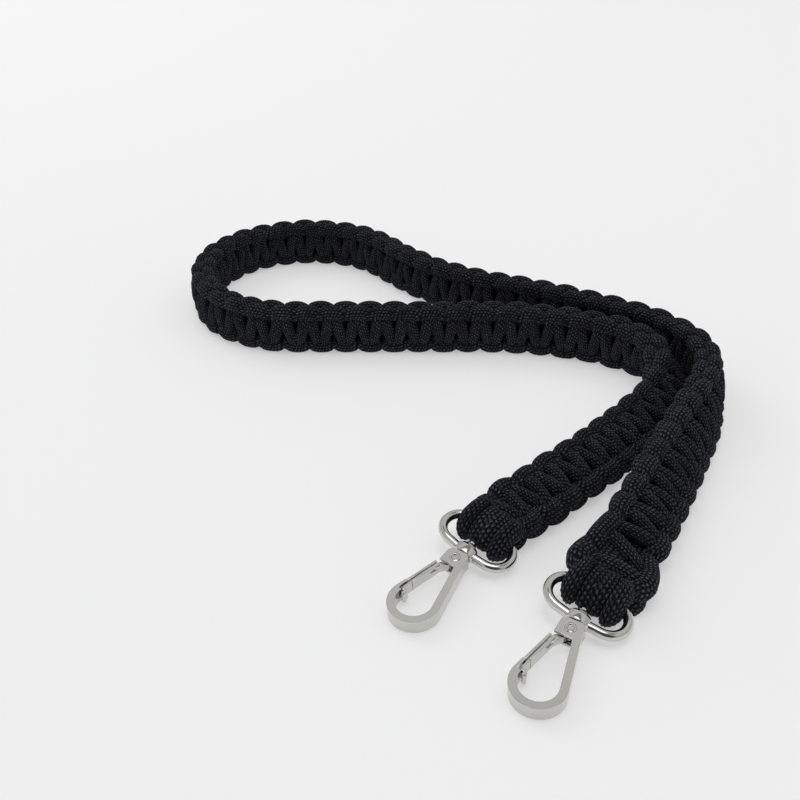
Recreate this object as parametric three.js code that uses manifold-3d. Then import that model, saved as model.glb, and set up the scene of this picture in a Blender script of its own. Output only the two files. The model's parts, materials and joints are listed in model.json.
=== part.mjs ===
// Camera neck strap lying on a table, +Z up, millimetres.
// A flat braid of square knots in soft knitted cord is folded into one long bight that stands
// on its edge at the back. At both ends its core cords loop round the eye ring of a swivel
// clasp, and each clasp has a flat teardrop hook with a sprung gate.
import * as THREE from 'three';
import { mergeVertices } from 'three/addons/utils/BufferGeometryUtils.js';
import Module from 'manifold-3d';

const wasm = await Module();
wasm.setup();

const DEGREE = Math.PI / 180;

// Sizes of the braided band
const strap = {
  length: 756.4, // along the middle of the braid, from one ring bar to the other
  width: 21.4, // over the side knots
  thickness: 11.4,
  squareness: 2.7, // exponent of the rounded section
  knotPitch: 10.2, // one whole square knot
  scallop: 0.17, // how far the edge draws in between two side knots, as a share of half the width
  rib: 0.14, // the same between two crossing cords, as a share of half the thickness
  looseKnotWidening: 0.16, // the last knot before the second ring is tied looser
  looseKnotPlace: 1.6, // in knots from the second ring's bar
  behindLoops: 0.86, // from the inside of the loops to the braid's first section
  sectionPoints: 10,
  stationsPerKnot: 4,
};

// Sizes of the core cords that loop round a ring bar
const cord = {
  count: 4,
  spacing: 4.7, // across the bar
  width: 5.3, // each cord is squeezed against its neighbours
  thickness: 4.3, // in front of the bar
  underBar: 3.0, // pressed flat between the bar and the table
  sides: 6,
  loopSteps: 14,
};

// Sizes of the eye ring
const ring = {
  width: 23.6, // across the middle of the wire
  depth: 11.1,
  cornerRadius: 5.4,
  wire: 2.9,
  bossWidth: 7.4, // the boss is an oval lug, wider than high
  bossHeight: 4.8,
  bossFront: 1.4, // from the swivel's middle towards the hook
  bossBack: 2.6, // from the swivel's middle into the ring
  bossForward: 0.7, // the swivel's middle lies a little in front of the wire
  wireSides: 8,
  cornerSteps: 5,
};

// Sizes of the hook, from its tip to the swivel
const hook = {
  bellyRadius: 7.75,
  barWidth: 2.3,
  thickness: 4.4,
  headWidth: 7,
  headLength: 5.9,
  headChamfer: 1.2,
  shoulder: 0.6, // how far the side lines stand out of the head at its foot
  shoulderRise: 2.2,
  tipToRivet: 27.5,
  rivetToHeadEnd: 3.0,
  headEndToBoss: 1.8,
  noseLength: 3.5, // past the point where the belly turns straight
  noseWidth: 1.0, // the nose laps over the gate on its outer side
  edgeChamfer: 0.3,
  pinRadius: 0.8,
  rivetRadius: 1.7,
  rivetStand: 0.3,
  slotHeight: 2.8,
  slotWall: 0.8,
  slotFoot: 1.0, // past the foot of the head, so that the gate can swing in
};

// Sizes of the swivel post, which is fixed in the hook's head
const post = {
  radius: 0.9,
  headRadius: 1.6,
  headLength: 1.3,
  headGap: 0.4, // free play behind the boss
};

// Sizes of the gate
const gate = {
  width: 2.0,
  thickness: 3.6,
  eyeRadius: 1.7,
  beadRadius: 0.7,
  beadReach: 3.6, // past the end of the nose
  tongueShoulder: 1.0,
};

// Gaps between pieces that touch or run in each other
const clearance = {
  running: 0.3,
  touching: 0.3,
};

// Points round the turned metal parts
const turned = {
  sides: 16,
  smallSides: 12,
};

// How each end lies: the heading of the hook is counted from +X, and the ring follows the strap
const clasps = [
  { name: '1', hookHeading: 52.0 },
  { name: '2', hookHeading: 57.7 },
];
const ringRoll = 11; // seen from the clasp, the ring's left side stands higher
const ringPitch = 5; // the ring's front side hangs lower than its bar

// The strap's route on the table. Each row is a stretch of the strap: run is its share of the
// strap's length, turn is how far it turns to the left in degrees, roll is the angle in degrees
// that the face has at its end, 0 lying face up and 90 standing on edge.
const routeStart = { heading: 48, roll: 11 };
const route = [
  { name: 'from the first ring', run: 0.0516, turn: -6, roll: 15 },
  { name: 'along the front', run: 0.0575, turn: 6, roll: 20 },
  { name: 'lifting', run: 0.0225, turn: 6, roll: 30 },
  { name: 'into the corner', run: 0.0185, turn: 32, roll: 55 },
  { name: 'round the corner', run: 0.0185, turn: 34, roll: 78 },
  { name: 'out of the corner', run: 0.0185, turn: 27, roll: 88 },
  { name: 'onto its edge', run: 0.0291, turn: 17, roll: 90 },
  { name: 'along the back', run: 0.0489, turn: 16, roll: 90 },
  { name: 'straight back run', run: 0.099, turn: 0, roll: 90 },
  { name: 'bight, first quarter', run: 0.0925, turn: -90, roll: 90 },
  { name: 'bight, second quarter', run: 0.0925, turn: -90, roll: 90 },
  { name: 'bight, closing', run: 0.0529, turn: -52, roll: 90 },
  { name: 'straight return', run: 0.0251, turn: 0, roll: 90 },
  { name: 'easing out', run: 0.0608, turn: 30, roll: 90 },
  { name: 'beside the first strand', run: 0.0529, turn: -7, roll: 90 },
  { name: 'outer strand', run: 0.0331, turn: -6, roll: 90 },
  { name: 'into the outer corner', run: 0.0198, turn: -15, roll: 90 },
  { name: 'round the outer corner', run: 0.0198, turn: -24, roll: 92 },
  { name: 'outer corner, second half', run: 0.0198, turn: -24, roll: 97 },
  { name: 'out of the outer corner', run: 0.0198, turn: -17, roll: 106 },
  { name: 'lying down', run: 0.0264, turn: -5, roll: 124 },
  { name: 'along the outer front', run: 0.0661, turn: -0.5, roll: 150 },
  { name: 'to the second ring', run: 0.0542, turn: -5, roll: 169 },
];

// Triangles of a skin over rings of points, closed on itself or capped at both ends
function skin(rings, closed) {
  const points = rings.flat();
  const sides = rings[0].length;
  const triangles = [];
  const spans = closed ? rings.length : rings.length - 1;
  for (let i = 0; i < spans; i += 1) {
    const here = i * sides;
    const there = ((i + 1) % rings.length) * sides;
    for (let k = 0; k < sides; k += 1) {
      const next = (k + 1) % sides;
      triangles.push(here + k, there + k, here + next);
      triangles.push(here + next, there + k, there + next);
    }
  }
  if (!closed) {
    for (let k = 1; k < sides - 1; k += 1) {
      const last = (rings.length - 1) * sides;
      triangles.push(0, k, k + 1);
      triangles.push(last, last + k + 1, last + k);
    }
  }
  const geometry = new THREE.BufferGeometry();
  const places = points.flatMap((p) => [p.x, p.y, p.z]);
  geometry.setAttribute('position', new THREE.Float32BufferAttribute(places, 3));
  geometry.setIndex(triangles);
  return geometry;
}

function toSolid(geometry) {
  const bare = geometry.clone();
  bare.deleteAttribute('normal');
  bare.deleteAttribute('uv');
  const merged = mergeVertices(bare, 1e-4);
  const solid = new wasm.Manifold(new wasm.Mesh({
    numProp: 3,
    vertProperties: new Float32Array(merged.attributes.position.array),
    triVerts: new Uint32Array(merged.index.array),
  }));
  return solid;
}

function toGeometry(solid) {
  const mesh = solid.getMesh();
  const geometry = new THREE.BufferGeometry();
  geometry.setAttribute('position', new THREE.BufferAttribute(mesh.vertProperties, 3));
  geometry.setIndex(new THREE.BufferAttribute(mesh.triVerts, 1));
  geometry.computeVertexNormals();
  return geometry;
}

function boxAt(x0, x1, y0, y1, z0, z1) {
  const box = new THREE.BoxGeometry(x1 - x0, y1 - y0, z1 - z0);
  box.translate((x0 + x1) / 2, (y0 + y1) / 2, (z0 + z1) / 2);
  return toSolid(box);
}

// Route of the strap

// Height of the middle of a rounded section that stands on the table at this roll
function standingHeight(roll) {
  const dual = strap.squareness / (strap.squareness - 1);
  const upright = (strap.width / 2) * Math.abs(Math.sin(roll));
  const flat = (strap.thickness / 2) * Math.abs(Math.cos(roll));
  return (upright ** dual + flat ** dual) ** (1 / dual);
}

// Heading and roll at a distance along the strap
function courseAt(distance) {
  const course = { heading: routeStart.heading, roll: routeStart.roll };
  let passed = 0;
  for (const row of route) {
    const run = row.run * strap.length;
    const share = THREE.MathUtils.clamp((distance - passed) / run, 0, 1);
    course.heading += row.turn * share;
    course.roll = THREE.MathUtils.lerp(course.roll, row.roll, share);
    passed += run;
    if (distance <= passed) {
      break;
    }
  }
  return { heading: course.heading * DEGREE, roll: course.roll * DEGREE };
}

// Stations along the strap, each with its place, its direction and the two axes of its section
function routeStations() {
  const count = Math.round((strap.length / strap.knotPitch) * strap.stationsPerKnot);
  const step = strap.length / count;
  const place = new THREE.Vector2(0, 0);
  const stations = [];
  for (let i = 0; i <= count; i += 1) {
    const { heading, roll } = courseAt(i * step);
    const right = new THREE.Vector3(Math.sin(heading), -Math.cos(heading), 0);
    const across = right.clone().multiplyScalar(Math.cos(roll));
    across.z = -Math.sin(roll);
    const facing = right.clone().multiplyScalar(Math.sin(roll));
    facing.z = Math.cos(roll);
    const centre = new THREE.Vector3(place.x, place.y, standingHeight(roll));
    stations.push({ distance: i * step, heading, roll, centre, across, facing });
    const middle = courseAt((i + 0.5) * step).heading;
    place.x += Math.cos(middle) * step;
    place.y += Math.sin(middle) * step;
  }
  return stations;
}

const stations = routeStations();

// Height of a ring bar that presses the lower outer cord flat against the table
const barHeight = (cord.spacing * (cord.count - 1) / 2) * Math.sin(ringRoll * DEGREE)
  + ring.wire / 2 + clearance.touching + cord.underBar;

// Braided band

// One section of the braid: side knots bulge in turn on the two edges, crossing cords on the faces
function bandSection(station, pinch) {
  const phase = (2 * Math.PI * station.distance) / strap.knotPitch;
  const draw = (wave, share) => 1 - share * (1 - Math.cos(wave)) / 2;
  const leftHalf = (strap.width / 2) * draw(phase, strap.scallop) * pinch;
  const rightHalf = (strap.width / 2) * draw(phase + Math.PI, strap.scallop) * pinch;
  const faceHalf = (strap.thickness / 2) * draw(2 * phase + Math.PI, strap.rib);
  const points = [];
  for (let k = 0; k < strap.sectionPoints; k += 1) {
    const angle = (2 * Math.PI * (k + 0.5)) / strap.sectionPoints;
    const c = Math.cos(angle);
    const s = Math.sin(angle);
    const half = c > 0 ? rightHalf : leftHalf;
    const out = Math.sign(c) * half * Math.abs(c) ** (2 / strap.squareness);
    const up = Math.sign(s) * faceHalf * Math.abs(s) ** (2 / strap.squareness);
    const point = station.centre.clone();
    point.addScaledVector(station.across, out);
    point.addScaledVector(station.facing, up);
    points.push(point);
  }
  return points;
}

// Widening of the loose knot, which lies one knot in from the second ring's loops
function looseness(distance) {
  const knotsIn = (strap.length - distance) / strap.knotPitch - strap.looseKnotPlace;
  return 1 + strap.looseKnotWidening * Math.exp(-knotsIn * knotsIn);
}

// The braid starts a little behind each bar, drawn in to the width of the looped cords
function bandSolid() {
  const lead = ring.wire / 2 + clearance.touching + strap.behindLoops;
  const easing = strap.knotPitch;
  const loopWidth = cord.spacing * (cord.count - 1) + cord.width;
  const kept = stations.filter((s) => s.distance >= lead && s.distance <= strap.length - lead);
  const rings = kept.map((station) => {
    const fromEnd = Math.min(station.distance, strap.length - station.distance) - lead;
    const ease = THREE.MathUtils.smoothstep(fromEnd, 0, easing);
    const pinch = THREE.MathUtils.lerp(loopWidth / strap.width, 1, ease);
    return bandSection(station, pinch * looseness(station.distance));
  });
  return toSolid(skin(rings, false));
}

// Core cords looped round the bar, side by side, in the ring's own frame: the bar lies along X
function loopedCords() {
  const inner = ring.wire / 2 + clearance.touching;
  const middle = inner + cord.thickness / 2;
  const loops = [];
  for (let i = 0; i < cord.count; i += 1) {
    const across = (i - (cord.count - 1) / 2) * cord.spacing;
    const outline = [];
    for (let k = 0; k <= cord.sides; k += 1) {
      const angle = (2 * Math.PI * (k % cord.sides)) / cord.sides;
      const radius = middle + (cord.thickness / 2) * Math.cos(angle);
      outline.push(new THREE.Vector2(radius, (cord.width / 2) * Math.sin(angle)));
    }
    const loop = new THREE.LatheGeometry(outline, cord.loopSteps);
    loop.rotateZ(-Math.PI / 2);
    loop.translate(across, 0, 0);
    loops.push(toSolid(loop));
  }
  return loops.reduce((sum, loop) => sum.add(loop));
}

// Eye ring

const swivelDepth = ring.depth + ring.bossForward;

// Points round the middle of the wire, with the direction in which the wire runs at each
function ringPath() {
  const half = ring.width / 2;
  const radius = ring.cornerRadius;
  const corners = [
    { x: half - radius, y: -radius, from: 0 },
    { x: -half + radius, y: -radius, from: 90 },
    { x: -half + radius, y: -ring.depth + radius, from: 180 },
    { x: half - radius, y: -ring.depth + radius, from: 270 },
  ];
  const path = [];
  for (const corner of corners) {
    for (let k = 0; k <= ring.cornerSteps; k += 1) {
      const angle = (corner.from + (90 * k) / ring.cornerSteps) * DEGREE;
      path.push({
        x: corner.x + radius * Math.cos(angle),
        y: corner.y + radius * Math.sin(angle),
        outward: angle,
      });
    }
  }
  return path;
}

function ringWire(radius) {
  const rings = ringPath().map((point) => {
    const outward = new THREE.Vector3(Math.cos(point.outward), Math.sin(point.outward), 0);
    const section = [];
    for (let k = 0; k < ring.wireSides; k += 1) {
      const angle = (2 * Math.PI * (k + 0.5)) / ring.wireSides;
      const place = new THREE.Vector3(point.x, point.y, 0);
      place.addScaledVector(outward, radius * Math.cos(angle));
      place.z += radius * Math.sin(angle);
      section.push(place);
    }
    return section;
  });
  return toSolid(skin(rings, true));
}

function ringSolid() {
  const bossLength = ring.bossFront + ring.bossBack;
  const boss = new THREE.CylinderGeometry(ring.bossHeight / 2, ring.bossHeight / 2, bossLength, turned.sides);
  boss.scale(ring.bossWidth / ring.bossHeight, 1, 1);
  boss.translate(0, (ring.bossBack - ring.bossFront) / 2 - swivelDepth, 0);
  const skew = Math.max(...clasps.map((clasp) => clasp.skew));
  const sideways = ring.bossBack * Math.tan(skew);
  const boreRadius = post.radius / Math.cos(skew) + sideways + clearance.running;
  const bore = new THREE.CylinderGeometry(boreRadius, boreRadius, 2 * bossLength, turned.sides);
  bore.translate(0, -swivelDepth, 0);
  return ringWire(ring.wire / 2).add(toSolid(boss)).subtract(toSolid(bore));
}

// Hook, in its own frame: the swivel's middle is the origin and the tip points along -Y

const rivetY = -(hook.headEndToBoss + hook.rivetToHeadEnd);
const tipY = rivetY - hook.tipToRivet;
const headEndY = rivetY + hook.rivetToHeadEnd;
const headFootY = headEndY - hook.headLength;
const belly = new THREE.Vector2(0, tipY + hook.bellyRadius);

// Point where a line from outside touches a circle round the belly's middle, on the +X side
function touchPoint(from, radius) {
  const toCentre = belly.clone().sub(from);
  const reach = toCentre.length();
  const lean = Math.asin(radius / reach);
  const along = Math.sqrt(reach * reach - radius * radius);
  const direction = toCentre.angle() + lean;
  return new THREE.Vector2(from.x + along * Math.cos(direction), from.y + along * Math.sin(direction));
}

const outerTop = new THREE.Vector2(hook.headWidth / 2 + hook.shoulder, headFootY);
const innerTop = new THREE.Vector2(outerTop.x - hook.barWidth, headFootY);
const outerTouch = touchPoint(outerTop, hook.bellyRadius);
const innerTouch = touchPoint(innerTop, hook.bellyRadius - hook.barWidth);

// The side line on the gate's side mirrors the solid bar's side line
const sideTop = new THREE.Vector2(-outerTop.x, outerTop.y);
const sideTouch = new THREE.Vector2(-outerTouch.x, outerTouch.y);
const sideUp = sideTop.clone().sub(sideTouch).normalize();
const sideInward = new THREE.Vector2(sideUp.y, -sideUp.x);
const sideAngle = Math.atan2(sideUp.y, sideUp.x);

function alongSide(distance, inward) {
  return sideTouch.clone().addScaledVector(sideUp, distance).addScaledVector(sideInward, inward);
}

function hookOutline() {
  const shape = new THREE.Shape();
  const noseOuter = alongSide(hook.noseLength, 0);
  const noseInner = alongSide(hook.noseLength, hook.noseWidth);
  const noseStep = alongSide(0, hook.noseWidth);
  const noseRoot = alongSide(0, hook.barWidth);
  const outerStart = sideTouch.clone().sub(belly).angle();
  const outerEnd = outerTouch.clone().sub(belly).angle();
  const innerStart = innerTouch.clone().sub(belly).angle();
  const innerEnd = noseRoot.clone().sub(belly).angle();
  const top = hook.headWidth / 2;
  shape.moveTo(noseOuter.x, noseOuter.y);
  shape.lineTo(sideTouch.x, sideTouch.y);
  shape.absarc(belly.x, belly.y, hook.bellyRadius, outerStart, outerEnd, false);
  shape.lineTo(outerTop.x, outerTop.y);
  shape.lineTo(top, outerTop.y + hook.shoulderRise);
  shape.lineTo(top, headEndY - hook.headChamfer);
  shape.lineTo(top - hook.headChamfer, headEndY);
  shape.lineTo(-top + hook.headChamfer, headEndY);
  shape.lineTo(-top, headEndY - hook.headChamfer);
  shape.lineTo(-top, headFootY);
  shape.lineTo(innerTop.x, innerTop.y);
  shape.lineTo(innerTouch.x, innerTouch.y);
  shape.absarc(belly.x, belly.y, hook.bellyRadius - hook.barWidth, innerStart, innerEnd, true);
  shape.lineTo(noseStep.x, noseStep.y);
  shape.lineTo(noseInner.x, noseInner.y);
  shape.closePath();
  return shape;
}

function hookSolid() {
  const depth = hook.thickness - 2 * hook.edgeChamfer;
  const frame = new THREE.ExtrudeGeometry(hookOutline(), {
    depth,
    curveSegments: 14,
    bevelEnabled: true,
    bevelSegments: 1,
    bevelThickness: hook.edgeChamfer,
    bevelSize: hook.edgeChamfer,
    bevelOffset: -hook.edgeChamfer,
  });
  frame.translate(0, 0, -depth / 2);
  const slotEdge = gate.eyeRadius + clearance.running;
  const slotFootY = headFootY - hook.slotFoot;
  const slotHalf = hook.slotHeight / 2;
  const slot = boxAt(-hook.headWidth, slotEdge, slotFootY, rivetY + slotEdge, -slotHalf, slotHalf);
  return toSolid(frame).subtract(slot).add(rivetSolid()).add(postSolid());
}

// The gate turns on the rivet's pin, and its two heads stand a little proud of the hook's faces
function rivetSolid() {
  const face = hook.thickness / 2;
  const end = face + hook.rivetStand;
  const neck = (face + hook.slotHeight / 2) / 2;
  const outline = [
    new THREE.Vector2(0, -end),
    new THREE.Vector2(hook.rivetRadius, -end),
    new THREE.Vector2(hook.rivetRadius, -neck),
    new THREE.Vector2(hook.pinRadius, -neck),
    new THREE.Vector2(hook.pinRadius, neck),
    new THREE.Vector2(hook.rivetRadius, neck),
    new THREE.Vector2(hook.rivetRadius, end),
    new THREE.Vector2(0, end),
  ];
  const rivet = new THREE.LatheGeometry(outline, turned.smallSides);
  rivet.rotateX(Math.PI / 2);
  rivet.translate(0, rivetY, 0);
  return toSolid(rivet);
}

// The post runs from inside the head through the boss to its own small head inside the ring
function postSolid() {
  const foot = headEndY - hook.slotWall;
  const headStart = ring.bossBack + post.headGap;
  const end = headStart + post.headLength;
  const outline = [
    new THREE.Vector2(0, foot),
    new THREE.Vector2(post.radius, foot),
    new THREE.Vector2(post.radius, headStart),
    new THREE.Vector2(post.headRadius, headStart),
    new THREE.Vector2(post.headRadius, end),
    new THREE.Vector2(0, end),
  ];
  return toSolid(new THREE.LatheGeometry(outline, turned.sides));
}

// Box along the side line, given by its stretch of the line and its reach inward from it
function sideBox(from, to, inwardFrom, inwardTo, height) {
  const box = new THREE.BoxGeometry(to - from, inwardTo - inwardFrom, height);
  const place = alongSide((from + to) / 2, (inwardFrom + inwardTo) / 2);
  box.rotateZ(sideAngle);
  box.translate(place.x, place.y, 0);
  return box;
}

// Gate, in the hook's frame, closed: an eye on the rivet, a lever along the side line and a
// tongue with a bead that rests against the inside of the nose
function gateSolid() {
  const lugHeight = hook.slotHeight - 2 * clearance.running;
  const eye = new THREE.CylinderGeometry(gate.eyeRadius, gate.eyeRadius, lugHeight, turned.sides);
  eye.rotateX(Math.PI / 2);
  eye.translate(0, rivetY, 0);
  const leverEnd = hook.noseLength + clearance.touching;
  const leverStart = sideTop.distanceTo(sideTouch) - 3 * clearance.running;
  const lever = sideBox(leverEnd, leverStart, 0, gate.width, gate.thickness);
  const neckFoot = alongSide(leverStart - gate.width, gate.width / 2);
  const neckTop = new THREE.Vector2(-gate.eyeRadius + gate.width / 2, rivetY);
  const neckRun = neckTop.clone().sub(neckFoot);
  const neck = new THREE.BoxGeometry(neckRun.length(), gate.width, lugHeight);
  neck.rotateZ(neckRun.angle());
  neck.translate((neckFoot.x + neckTop.x) / 2, (neckFoot.y + neckTop.y) / 2, 0);
  const beadDistance = hook.noseLength - gate.beadReach;
  const beadInward = hook.barWidth + clearance.touching + gate.beadRadius;
  const beadPlace = alongSide(beadDistance, beadInward);
  const bead = new THREE.CylinderGeometry(gate.beadRadius, gate.beadRadius, gate.thickness, turned.smallSides);
  bead.rotateX(Math.PI / 2);
  bead.translate(beadPlace.x, beadPlace.y, 0);
  const tongueFront = hook.noseWidth + clearance.touching;
  const tongueTop = leverEnd + gate.beadRadius;
  const tongue = sideBox(clearance.touching, tongueTop, tongueFront, gate.width, gate.thickness);
  const shoulderTop = clearance.touching + gate.tongueShoulder;
  const shoulder = sideBox(clearance.touching, shoulderTop, tongueFront, beadInward, gate.thickness);
  const boreRadius = hook.pinRadius + clearance.running;
  const bore = new THREE.CylinderGeometry(boreRadius, boreRadius, hook.thickness, turned.sides);
  bore.rotateX(Math.PI / 2);
  bore.translate(0, rivetY, 0);
  const pieces = [eye, lever, neck, bead, tongue, shoulder].map(toSolid);
  return pieces.reduce((sum, piece) => sum.add(piece)).subtract(toSolid(bore));
}

// Materials

const knittedCord = new THREE.MeshStandardMaterial({ color: 0x1b1b1f, roughness: 0.95, metalness: 0 });
const nickel = new THREE.MeshStandardMaterial({ color: 0xc9c7c2, roughness: 0.2, metalness: 1 });

// Assembly

// Frame of a clasp at one end of the strap: +Y points from the clasp into the strap
function claspPlacement(clasp, index) {
  const station = index === 0 ? stations[0] : stations[stations.length - 1];
  const heading = index === 0 ? station.heading : station.heading + Math.PI;
  const ringGroup = new THREE.Group();
  ringGroup.rotation.order = 'ZXY';
  ringGroup.rotation.set(ringPitch * DEGREE, ringRoll * DEGREE, heading - Math.PI / 2);
  ringGroup.position.set(station.centre.x, station.centre.y, barHeight);
  ringGroup.updateMatrixWorld(true);
  const swivel = new THREE.Vector3(0, -swivelDepth, 0).applyMatrix4(ringGroup.matrixWorld);
  const reach = Math.hypot(tipY, hook.thickness / 2);
  const tilt = Math.asin(swivel.z / reach) - Math.atan2(hook.thickness / 2, -tipY);
  const hookGroup = new THREE.Group();
  hookGroup.rotation.order = 'ZXY';
  hookGroup.rotation.set(tilt, 0, clasp.hookHeading * DEGREE - Math.PI / 2);
  hookGroup.position.copy(swivel);
  hookGroup.updateMatrixWorld(true);
  const ringAxis = new THREE.Vector3(0, 1, 0).transformDirection(ringGroup.matrixWorld);
  const hookAxis = new THREE.Vector3(0, 1, 0).transformDirection(hookGroup.matrixWorld);
  return { ringGroup, hookGroup, skew: ringAxis.angleTo(hookAxis) };
}

function asMesh(name, solid, material) {
  const mesh = new THREE.Mesh(toGeometry(solid), material);
  mesh.name = name;
  return mesh;
}

const neckStrap = new THREE.Group();
let strapSolid = bandSolid();

clasps.forEach((clasp, index) => Object.assign(clasp, claspPlacement(clasp, index)));
for (const clasp of clasps) {
  clasp.ringGroup.add(asMesh(`eye_ring_${clasp.name}`, ringSolid(), nickel));
  clasp.hookGroup.add(asMesh(`hook_${clasp.name}`, hookSolid(), nickel));
  clasp.hookGroup.add(asMesh(`gate_${clasp.name}`, gateSolid(), nickel));
  neckStrap.add(clasp.ringGroup, clasp.hookGroup);
  const cords = loopedCords().transform(clasp.ringGroup.matrixWorld.elements);
  strapSolid = strapSolid.add(cords);
}
// Each ring gets its own space through the looped cords, and the table presses them flat
for (const clasp of clasps) {
  const room = ringWire(ring.wire / 2 / Math.cos(Math.PI / ring.wireSides) + clearance.touching);
  strapSolid = strapSolid.subtract(room.transform(clasp.ringGroup.matrixWorld.elements));
}
const table = boxAt(-strap.length, strap.length, -strap.length, strap.length, -strap.width, 0);
strapSolid = strapSolid.subtract(table);
neckStrap.add(asMesh('strap', strapSolid, knittedCord));

// The origin is on the table, under the middle of the whole object
neckStrap.updateMatrixWorld(true);
const extent = new THREE.Box3().setFromObject(neckStrap, true);
const middle = extent.getCenter(new THREE.Vector3());
neckStrap.position.set(-middle.x, -middle.y, -extent.min.z);

export default neckStrap;
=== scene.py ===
"""Looks of a braided camera neck strap: knotted knit cords, looped core cords and nickel swivel clasps.

The file is laid out as an add-on with one operator for each group of pieces, and it is run as a script.
Tables and constants are in mm, as in the part's source. Property groups and finished pieces are in metres.
"""

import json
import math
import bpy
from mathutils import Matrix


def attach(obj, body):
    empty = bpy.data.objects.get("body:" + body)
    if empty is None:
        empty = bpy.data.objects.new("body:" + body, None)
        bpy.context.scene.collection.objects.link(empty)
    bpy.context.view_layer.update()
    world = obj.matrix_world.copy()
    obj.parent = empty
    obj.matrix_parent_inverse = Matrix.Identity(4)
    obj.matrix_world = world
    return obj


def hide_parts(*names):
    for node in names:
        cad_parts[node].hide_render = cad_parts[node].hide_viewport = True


bl_info = {
    "name": "Braided neck strap",
    "version": (1, 0, 0),
    "blender": (4, 5, 0),
    "location": "3D View > Sidebar > Neck strap",
    "description": "Knotted cords, core loops, swivel clasps and a pale table around the packed frame",
    "category": "Object",
}

import bmesh
import bpy
import numpy as np
from bpy.props import FloatProperty, FloatVectorProperty, IntProperty, PointerProperty
from mathutils import Matrix, Vector

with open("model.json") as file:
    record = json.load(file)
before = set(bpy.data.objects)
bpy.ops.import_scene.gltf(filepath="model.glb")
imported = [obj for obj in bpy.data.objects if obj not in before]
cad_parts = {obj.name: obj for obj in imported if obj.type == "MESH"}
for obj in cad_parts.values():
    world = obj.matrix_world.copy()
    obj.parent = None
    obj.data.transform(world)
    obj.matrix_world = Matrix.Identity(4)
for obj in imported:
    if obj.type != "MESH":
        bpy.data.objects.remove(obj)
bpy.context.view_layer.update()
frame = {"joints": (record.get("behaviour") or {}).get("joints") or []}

MM = 0.001
DEGREE = math.pi / 180

# Route of the strap, as in the part's source: name, share of the length, turn and end roll in degrees
ROUTE = (
    ("from the first ring", 0.0516, -6, 15),
    ("along the front", 0.0575, 6, 20),
    ("lifting", 0.0225, 6, 30),
    ("into the corner", 0.0185, 32, 55),
    ("round the corner", 0.0185, 34, 78),
    ("out of the corner", 0.0185, 27, 88),
    ("onto its edge", 0.0291, 17, 90),
    ("along the back", 0.0489, 16, 90),
    ("straight back run", 0.099, 0, 90),
    ("bight, first quarter", 0.0925, -90, 90),
    ("bight, second quarter", 0.0925, -90, 90),
    ("bight, closing", 0.0529, -52, 90),
    ("straight return", 0.0251, 0, 90),
    ("easing out", 0.0608, 30, 90),
    ("beside the first strand", 0.0529, -7, 90),
    ("outer strand", 0.0331, -6, 90),
    ("into the outer corner", 0.0198, -15, 90),
    ("round the outer corner", 0.0198, -24, 92),
    ("outer corner, second half", 0.0198, -24, 97),
    ("out of the outer corner", 0.0198, -17, 106),
    ("lying down", 0.0264, -5, 124),
    ("along the outer front", 0.0661, -0.5, 150),
    ("to the second ring", 0.0542, -5, 169),
)
START_HEADING = 48
START_ROLL = 11
START_PLACE = (12.8658, -76.3511)

# Sizes of the clasp in mm, as in the part's source
WIRE = 1.45
TOUCHING = 0.3
RUNNING = 0.3
RING_WIDTH = 23.6
RING_DEPTH = 11.1
RING_CORNER = 5.4
RING_ROLL = 11
RING_PITCH = 5
BOSS_FRONT = 1.4
BOSS_BACK = 2.6
BOSS_WIDTH = 7.4
BOSS_HEIGHT = 4.8
BOSS_FORWARD = 0.7
BORE_RADIUS = 1.45
LOOP_THICKNESS = 4.3
LOOP_SPACING = 4.7
UNDER_BAR = 3.0
BELLY = 7.75
BAR = 2.3
HOOK_THICKNESS = 4.4
HEAD_WIDTH = 7.0
HEAD_LENGTH = 5.9
HEAD_CHAMFER = 1.2
SHOULDER = 0.6
SHOULDER_RISE = 2.2
RIVET_Y = -4.8
TIP_Y = RIVET_Y - 27.5
HEAD_END_Y = RIVET_Y + 3.0
HEAD_FOOT_Y = HEAD_END_Y - HEAD_LENGTH
NOSE_LENGTH = 3.5
NOSE_WIDTH = 1.0
SLOT_HEIGHT = 2.8
SLOT_FOOT = 1.0
SLOT_WALL = 0.8
PIN_RADIUS = 0.8
RIVET_RADIUS = 1.7
RIVET_STAND = 0.3
POST_RADIUS = 0.9
POST_HEAD = 1.6
POST_HEAD_LENGTH = 1.3
POST_GAP = 0.4
GATE_WIDTH = 2.0
GATE_THICKNESS = 3.6
EYE_RADIUS = 1.7
BEAD_RADIUS = 0.7
BEAD_REACH = 3.6
TONGUE_SHOULDER = 1.0
BAR_HEIGHT = 1.5 * LOOP_SPACING * math.sin(RING_ROLL * DEGREE) + WIRE + TOUCHING + UNDER_BAR

# Finish of the metal: roundings, the boss's bow, the coil, the groove and the eyes in mm, and the angles in
# degrees from which an edge is bevelled or shaded as an edge
HOOK_ROUNDING = 0.38
NECK_ROUNDING = 0.15
GATE_ROUNDING = 0.12
BEVEL_FROM = 35
RING_SHARP_FROM = 28
HOOK_SHARP_FROM = 12
BOSS_BOW = 5
COIL_RADIUS = 1.35
COIL_TURNS = 2.5
COIL_RISE = 0.84
COIL_WIRE = 0.17
GROOVE_NEAR = 0.78
GROOVE_FAR = 1.18
GROOVE_DEPTH = 0.9
LUG_THICKNESS = 0.55


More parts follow.
